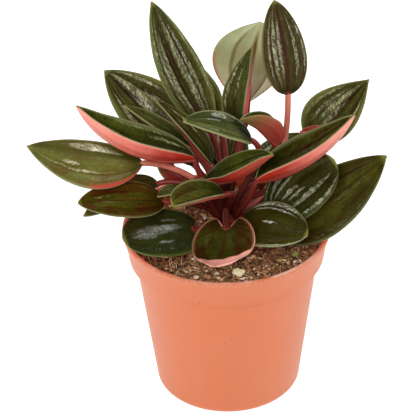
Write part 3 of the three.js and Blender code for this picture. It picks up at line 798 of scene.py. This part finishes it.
# The undersides, from the base to the tip, with the veins and the edge. veins is how strong
# they are. One has wider veins and an edge that starts further out and fades out from edgeTo on.
undersides = dict(
    rose=dict(
        base=(180, 46, 30), middle=(228, 120, 104), tip=(236, 156, 140), vein=(172, 56, 44),
        edge=(234, 154, 136), veins=0.35),
    scarlet=dict(
        base=(164, 38, 26), middle=(174, 54, 40), tip=(166, 74, 56), vein=(128, 32, 24),
        edge=(186, 104, 84), veins=0.4),
    wine=dict(
        base=(126, 32, 28), middle=(134, 42, 34), tip=(112, 86, 48), vein=(84, 20, 20),
        edge=(138, 104, 72), veins=0.6),
    russet=dict(
        base=(160, 60, 48), middle=(176, 84, 68), tip=(118, 100, 54), vein=(126, 44, 34),
        edge=(170, 118, 86), veins=0.5),
    flush=dict(
        base=(214, 68, 54), middle=(204, 84, 68), tip=(128, 92, 56), vein=(170, 50, 40),
        edge=(204, 96, 78), veins=0.4),
    curled=dict(
        base=(206, 116, 98), middle=(224, 148, 132), tip=(230, 162, 148), vein=(200, 112, 94),
        edge=(232, 168, 152), veins=0.2),
    pale=dict(
        base=(206, 206, 170), middle=(164, 166, 118), tip=(184, 192, 146), vein=(106, 90, 42),
        edge=(190, 76, 62), veins=1.0, veinWidth=0.09, edgeFrom=0.86, edgeTo=0.35))

# Painted highlights where the light catches a blade that has no glints of its own.
evenGlints = [
    (-0.3, 0.5, 0.11, 0.38), (0.3, 0.5, 0.11, 0.38), (-0.68, 0.5, 0.07, 0.32), (0.68, 0.5, 0.07, 0.32)]


def bladeUv(make):
    # u from -1 to 1 across the blade, and v from 0 at its base to 1 at its tip
    across, along, _ = make.parts(make.node("ShaderNodeUVMap"))
    return across * 2 - 1, along


def streaks(make, across, along):
    # noise drawn out along the blade or across it, and different on every blade
    grid = make.node("ShaderNodeCombineXYZ", values={0: across, 1: along, 2: make.grain(30, 0)})
    return make.cloudiness(grid, 1, 3, 0.6)


def glintShape(make, u, v, spots):
    # soft ellipses of painted highlight where the light catches the ridges
    shape = 0
    for middleU, middleV, wide, long in spots:
        across = (u - middleU) * (1 / wide)
        along = (v - middleV) * (1 / long)
        shape = make.step(across * across + along * along, 1.1, 0.1) + shape
    return shape


def upperMaterial(leaf):
    look = looks[leaf["look"]]
    make = Finish(f"upper.{leaf['node']}")
    u, v = bladeUv(make)
    wander = make.grain(9, 2) - 0.5
    tremble = make.grain(2.4, 2) - 0.5
    pebbles = make.grain(0.9, 4, 0.7)
    side = abs(u) + wander * 0.08
    ragged = streaks(make, u * 15, v * 9)
    wrinkle = streaks(make, u * 5, (v - abs(u) * 0.2) * 46)
    slanted = streaks(make, abs(u) * 15 - v * 20, v * 10)
    midVein = make.band(u + wander * 0.06 + tremble * 0.05, 0, look.get("heart", 0.12), 0.6)
    sideVein = make.band(side, 0.5, 0.12, 0.8)
    edgeVein = make.band(side, 0.84, 0.07, 0.9)
    veins = (midVein + sideVein * 0.7 + edgeVein * 0.4) * (0.5 + ragged * 0.8) * look["ribs"]
    mottle = make.step(pebbles * 0.6 + wrinkle * 0.4, 0.36, 0.62)
    cloud = make.step(make.grain(8, 3), 0.3, 0.7)
    ground = mottle * 0.45 + cloud * 0.3 + ragged * 0.3
    colour = make.over(paint(*look["deep"]), look["green"], ground)
    stains = veins
    if "brown" in look:
        stains += make.step(make.grain(10, 2) + abs(u) * 0.2, 0.48, 0.68) * look["brown"]
    if "rays" in look:
        stains += make.step((u / (v + 0.2) * 8 + wander * 3).sine(), 0.3, 0.95) * look["rays"]
    if "feather" in look:
        pairs = make.step((v * 42 - abs(u) * 26 + wander * 9).sine(), 0.0, 1.0)
        stains += pairs * make.step(ragged, 0.3, 0.62) * look["feather"]
    colour = make.over(colour, look["vein"], stains)
    # pale lines along the ridges, partly the leaf's own colour and partly painted highlight
    lines = make.step((u * 28 + wander * 4).sine(), 0.3, 0.9) * make.step(ragged, 0.4, 0.65)
    colour = make.over(colour, look["margin"], lines * look["ribs"] * 0.3)
    # painted shade: darker towards the base, and on some looks over one half
    shadow = make.step(v, look.get("dusk", 0) + 0.12, 0.0) * 0.85
    if "side" in look:
        shadow += make.step(u, -0.05, 0.2) * look["side"]
    colour = make.over(colour, look["deep"], shadow)
    broken = look.get("speckle", 1)
    flecks = make.step(wrinkle * 0.5 + pebbles * 0.5, 0.43, 0.57) * (0.8 * broken) + (1 - 0.8 * broken)
    torn = make.step(ragged * 0.4 + slanted * 0.6, 0.4, 0.58) * (0.75 * broken) + (1 - 0.75 * broken)
    spots = leaf.get("glints", evenGlints)
    glint = glintShape(make, u + wander * 0.08 + tremble * 0.12, v + tremble * 0.1, spots) * flecks * torn
    # the leaf's silver with painted highlights, laid on where the glints are
    colour = make.over(colour, look["silverAndHighlight"], glint * look["shine"])
    colour = make.over(colour, look["margin"], make.step(abs(u), look.get("rim", 0.88), 1.0) * 0.75)
    colour = make.over(colour, leafTones["tip"], make.step(v, 0.94, 1.0) * 0.7)
    blush = make.step(v, 0.04, 0.0) * make.step(abs(u), 0.6, 0.1)
    colour = make.over(colour, leafTones["blush"], blush * 0.7)
    if "flush" in leaf:
        nearBase = make.step(v, leaf["flush"], leaf["flush"] - 0.15)
        flush = make.step(u + wander * 0.06, -0.8, -0.92) * nearBase
        colour = make.over(colour, leafTones["flush"], flush)
    if "curl" in leaf:
        curl = make.step(v - u * 0.14, leaf["curl"], leaf["curl"] + 0.05)
        colour = make.over(colour, leafTones["curl"], curl)
    groove = make.step(abs(u), 0.0, 0.08) * make.step(abs(side - 0.5), 0.0, 0.06)
    skin = make.bump(groove * look["ribs"] + wrinkle * 0.6 + pebbles * 0.7, leafSkin["bump"])
    wet = make.step(pebbles * 0.6 + wrinkle * 0.4, 0.46, 0.6) * (leafSkin["wetCoat"] * look["gloss"])
    return make.finish(
        colour, leafSkin["roughness"], Specular_IOR_Level=leafSkin["specular"], Normal=skin,
        Coat_Weight=wet + glint * leafSkin["glintCoat"], Coat_Roughness=leafSkin["coatRoughness"])


def underMaterial(name):
    tones = undersides[name]
    make = Finish(f"under.{name}")
    u, v = bladeUv(make)
    side = abs(u) + (make.grain(9, 2) - 0.5) * 0.06
    cloud = make.step(make.grain(8, 3), 0.3, 0.7)
    colour = make.over(paint(*tones["base"]), tones["middle"], make.step(v + cloud * 0.12, 0.12, 0.6))
    colour = make.over(colour, tones["tip"], make.step(v + cloud * 0.15, 0.5, 1.0))
    mottle = make.step(make.grain(2.2, 3), 0.45, 0.7)
    colour = make.over(colour, tones["tip"], mottle * make.step(v, 0.2, 0.7) * 0.3)
    wide = tones.get("veinWidth", 0.08)
    vein = make.band(u, 0, wide, 0.8) + make.band(side, 0.5, wide * 0.8, 0.8) * 0.7
    colour = make.over(colour, tones["vein"], vein * make.step(v, 1.0, 0.7) * tones["veins"])
    edgeTo = tones.get("edgeTo", 1.0)
    edge = make.step(abs(u), tones.get("edgeFrom", 0.8), 1.0) * make.step(v, edgeTo + 0.3, edgeTo)
    colour = make.over(colour, tones["edge"], edge * 0.8)
    slant = (v * 90 - abs(u) * 20 + make.grain(4, 2) * 8).sine()
    skin = make.bump(make.grain(1.1, 3) * 0.7 + slant * 0.12, leafSkin["underBump"])
    return make.finish(
        colour, leafSkin["roughness"], Specular_IOR_Level=leafSkin["underSpecular"], Normal=skin)


def edgeMaterial(name):
    make = Finish(f"edge.{name}")
    look = looks[name]
    pale = [value * leafSkin["edgeShade"] for value in look.get("lip", look["margin"])]
    colour = make.over(paint(*pale), leafTones["worn"], make.step(make.grain(6, 2), 0.45, 0.7) * 0.12)
    return make.finish(colour, leafSkin["edgeRoughness"], Specular_IOR_Level=leafSkin["edgeSpecular"])


def buildLeaf(leaf, seed):
    deselectAll()
    bpy.ops.mesh.primitive_grid_add(
        x_subdivisions=blade["across"], y_subdivisions=blade["along"], size=2, calc_uvs=True)
    piece = newPiece("".join(word.capitalize() for word in leaf["node"].split("_")[2:]) + "Leaf")
    surface = bladeSurface(leaf, seed)
    mesh = piece.data
    places = []
    body = piece.vertex_groups.new(name="body")
    for vertex in mesh.vertices:
        u, t = vertex.co.x, (vertex.co.y + 1) / 2
        v = t - blade["crowding"] * math.sin(2 * math.pi * t)  # rows stand closer near both ends
        places.append(((u + 1) / 2, v))
        vertex.co = surface(u, v) * mm
        thin = 1 - (1 - blade["marginThickness"] / blade["thickness"]) * abs(u) ** 3
        body.add([vertex.index], thin, "REPLACE")
    uv = mesh.uv_layers.active.data
    for loop in mesh.loops:
        uv[loop.index].uv = places[loop.vertex_index]
    mesh.materials.append(upperMaterial(leaf))
    mesh.materials.append(underMaterials[leaf.get("under", "rose")])
    mesh.materials.append(edgeMaterials[leaf["look"]])
    shell = piece.modifiers.new("shell", "SOLIDIFY")
    shell.thickness = blade["thickness"] * mm
    shell.offset = 0
    shell.vertex_group = "body"
    shell.material_offset = 1
    shell.material_offset_rim = 2
    applyModifiers(piece)
    smooth(piece, 50)
    finishPiece(piece, "leaf", leaf["node"])


# How a stalk narrows on its way, and how it runs on under the blade at these shares of the
# blade's length: its radius, where it ends, and how deep it lies.
stalks = dict(
    sides=12, steps=24, foot=1.12, narrowing=0.14, under=(0.03, 0.08, 0.15, 0.24, 0.34, 0.45, 0.56),
    underRadius=1.25, underEnd=0.62, underDepth=0.35, underShare=0.4)


def stalkPath(leaf, order):
    # from inside the crown to the blade's base, and on under its midrib
    surface = bladeSurface(leaf)
    start = surface(0, 0)
    heading = (surface(0, 0.06) - start).normalized()
    side = bladeFrame(leaf)[-1]
    if "arrive" in leaf:
        into = Vector(leaf["arrive"]).normalized()
    else:
        into = heading.copy()
        into.rotate(Quaternion(side, math.radians(leaf.get("dip", 0))))
    crownX, crownY = crown["place"]
    turn = math.atan2(start.y - crownY, start.x - crownX)
    reach = crown["radius"] * crown["reach"]
    level = crown["top"] - crown["topTier"] - (order % crown["tiers"]) * crown["tierHeight"]
    root = Vector((crownX + reach * math.cos(turn), crownY + reach * math.sin(turn), level))
    bladeHalf = blade["thickness"] / 2 * math.sin(heading.angle(into))
    end = start - into * (crown["stalkGap"] + leaf.get("clear", 0) + bladeHalf)
    span = (end - root).length
    first = root + Vector((0, 0, span * leaf.get("rise", 0.4)))
    second = end - into * span * leaf.get("follow", 0.35)
    points, radii = [], []
    steps = stalks["steps"]
    for i in range(steps + 1):
        t = i / steps
        s = 1 - t
        points.append(root * s ** 3 + first * 3 * s * s * t + second * 3 * s * t * t + end * t ** 3)
        radii.append(blade["stalkRadius"] * (stalks["foot"] - stalks["narrowing"] * i / steps))
    for v in stalks["under"]:
        above = side.cross((surface(0, v + 0.02) - surface(0, v)).normalized())
        radii.append(stalks["underRadius"] * (1 - v / stalks["underEnd"]) ** 0.7)
        points.append(surface(0, v) - above * (stalks["underDepth"] + stalks["underShare"] * radii[-1]))
    return points, radii


# The stalks are dark near the crown, at this level, partly their own deep red and partly painted
# shade among the leaves, and their own colour further from it.
stalkTones = dict(
    root=(84, 25, 17), red=(152, 54, 40), salmon=(212, 120, 96), shade=(92, 34, 24), fleck=(90, 28, 20),
    redFrom=16, redAt=50, salmonFrom=6, salmonAt=26, shadeFrom=6, shadeAt=30, level=96, roughness=0.42,
    specular=0.25)


def stalkMaterial():
    make = Finish("redStalk")
    tone = make.node("ShaderNodeAttribute", {"attribute_name": "tone"}, output="Color")
    cloud = make.step(make.grain(6, 3), 0.35, 0.7)
    colour = make.over(tone, stalkTones["fleck"], cloud * 0.25)
    flecks = make.step(make.grain(0.8, 2), 0.62, 0.72)
    colour = make.over(colour, stalkTones["fleck"], flecks * 0.15)
    skin = make.bump(make.grain(1.5, 3), 0.12)
    return make.finish(
        colour, stalkTones["roughness"], Specular_IOR_Level=stalkTones["specular"], Normal=skin)


def stalkTone(point, name):
    # the linear colour of a stalk at a point, by how far it is from the crown
    crownX, crownY = crown["place"]
    away = math.hypot(point.x / mm - crownX, point.y / mm - crownY, point.z / mm - stalkTones["level"])
    near, far = stalkTones[name + "From"], stalkTones[name + "At"]
    share = min(max((away - near) / (far - near), 0), 1)
    dark, full = paint(*stalkTones["root"]), paint(*stalkTones[name])
    return [a + (b - a) * share for a, b in zip(dark, full)]


def buildStalks():
    tubes = []
    for order, leaf in enumerate(leaves):
        points, radii = stalkPath(leaf, order)
        tube = tubeAlong(f"stalk{order}", points, radii, stalks["sides"])
        paintPoints(tube, [stalkTone(vertex.co, leaf.get("stalk", "red")) for vertex in tube.data.vertices])
        tubes.append(tube)
    deselectAll()
    crownX, crownY = crown["place"]
    bpy.ops.mesh.primitive_uv_sphere_add(segments=48, ring_count=32, radius=1)
    heart = newPiece("heart")
    radius, half = crown["radius"], crown["height"] / 2
    for vertex in heart.data.vertices:
        swell = 1 + crown["lumps"] * noise.noise(vertex.co * crown["lumpSize"])
        x, y, z = vertex.co * swell
        vertex.co = toMetres((crownX + x * radius, crownY + y * radius, crown["top"] - half + z * half))
    # the crown in the stalks' dark root colour, partly its own and partly painted shade
    paintWhole(heart, stalkTones["root"])
    whole = joinPieces("redStalks", tubes + [heart])
    smooth(whole, 50)
    whole.data.materials.append(stalkMaterial())
    finishPiece(whole, "stalks", "stalks_and_crown")


# The camera was fitted to the pot's rim and foot in the photo, which is 415 by 415.
camera = dict(
    target=(-9.2, 0, 102.9), distance=1100, elevation=32.5, roll=1.25, lens=190, sensor=36, nearest=50,
    furthest=20000)


def addCamera():
    tilt = math.radians(camera["elevation"])
    look = Vector((0, math.cos(tilt), -math.sin(tilt)))
    bpy.ops.object.camera_add(location=toMetres(camera["target"]) - look * camera["distance"] * mm)
    view = bpy.context.object
    view.rotation_mode = "QUATERNION"
    level = look.to_track_quat("-Z", "Y")
    view.rotation_quaternion = level @ Quaternion((0, 0, 1), math.radians(-camera["roll"]))
    view.data.lens = camera["lens"]
    view.data.sensor_width = camera["sensor"]
    view.data.clip_start = camera["nearest"] * mm
    view.data.clip_end = camera["furthest"] * mm
    bpy.context.scene.camera = view


# Soft boxes: where each one stands and how wide it is, in metres, and its power in watts.
lights = dict(
    topBox=dict(place=(0.1, 0.9, 1.3), size=0.6, power=16),
    frontBox=dict(place=(-0.4, -1.6, 1.3), size=0.9, power=27),
    leftBox=dict(place=(-1.5, 0.1, 0.7), size=0.6, power=6),
    rightBox=dict(place=(1.5, 0.0, 0.7), size=0.6, power=10))
# What they are aimed at, the light from all round, and the floor, which gives off light.
studio = dict(aim=(0, 0, 0.1), world=0.1, floorSize=40, floorShade=0.3, floorGlow=1.0)


def addLights():
    for name, light in lights.items():
        bpy.ops.object.light_add(type="AREA", location=light["place"])
        lamp = bpy.context.object
        lamp.name = name
        lamp.data.energy = light["power"]
        lamp.data.size = light["size"]
        aim = Vector(studio["aim"]) - lamp.location
        lamp.rotation_euler = aim.to_track_quat("-Z", "Y").to_euler()
    world = bpy.data.worlds.new("studio")
    bpy.context.scene.world = world
    world.use_nodes = True
    background = world.node_tree.nodes["Background"]
    background.inputs["Color"].default_value = (1, 1, 1, 1)
    background.inputs["Strength"].default_value = studio["world"]


def addFloor():
    deselectAll()
    bpy.ops.mesh.primitive_plane_add(size=studio["floorSize"])
    floor = newPiece("floor")
    make = Finish("paleFloor")
    shade = studio["floorShade"]
    floor.data.materials.append(make.finish(
        (shade, shade, shade, 1), 0.9, Emission_Color=(1, 1, 1, 1), Emission_Strength=studio["floorGlow"]))


buildPot()
print("pot turned")
buildSoil()
buildSoilBits()
buildFibres()
print("soil filled in")
underMaterials = {name: underMaterial(name) for name in undersides}
edgeMaterials = {name: edgeMaterial(name) for name in looks}
print("leaf finishes mixed")
for seed, leaf in enumerate(leaves):
    buildLeaf(leaf, seed)
print("leaves grown")
buildStalks()
print("stalks grown")
addFloor()
addLights()
addCamera()
bpy.context.scene.view_settings.view_transform = "Standard"
print("studio lit")
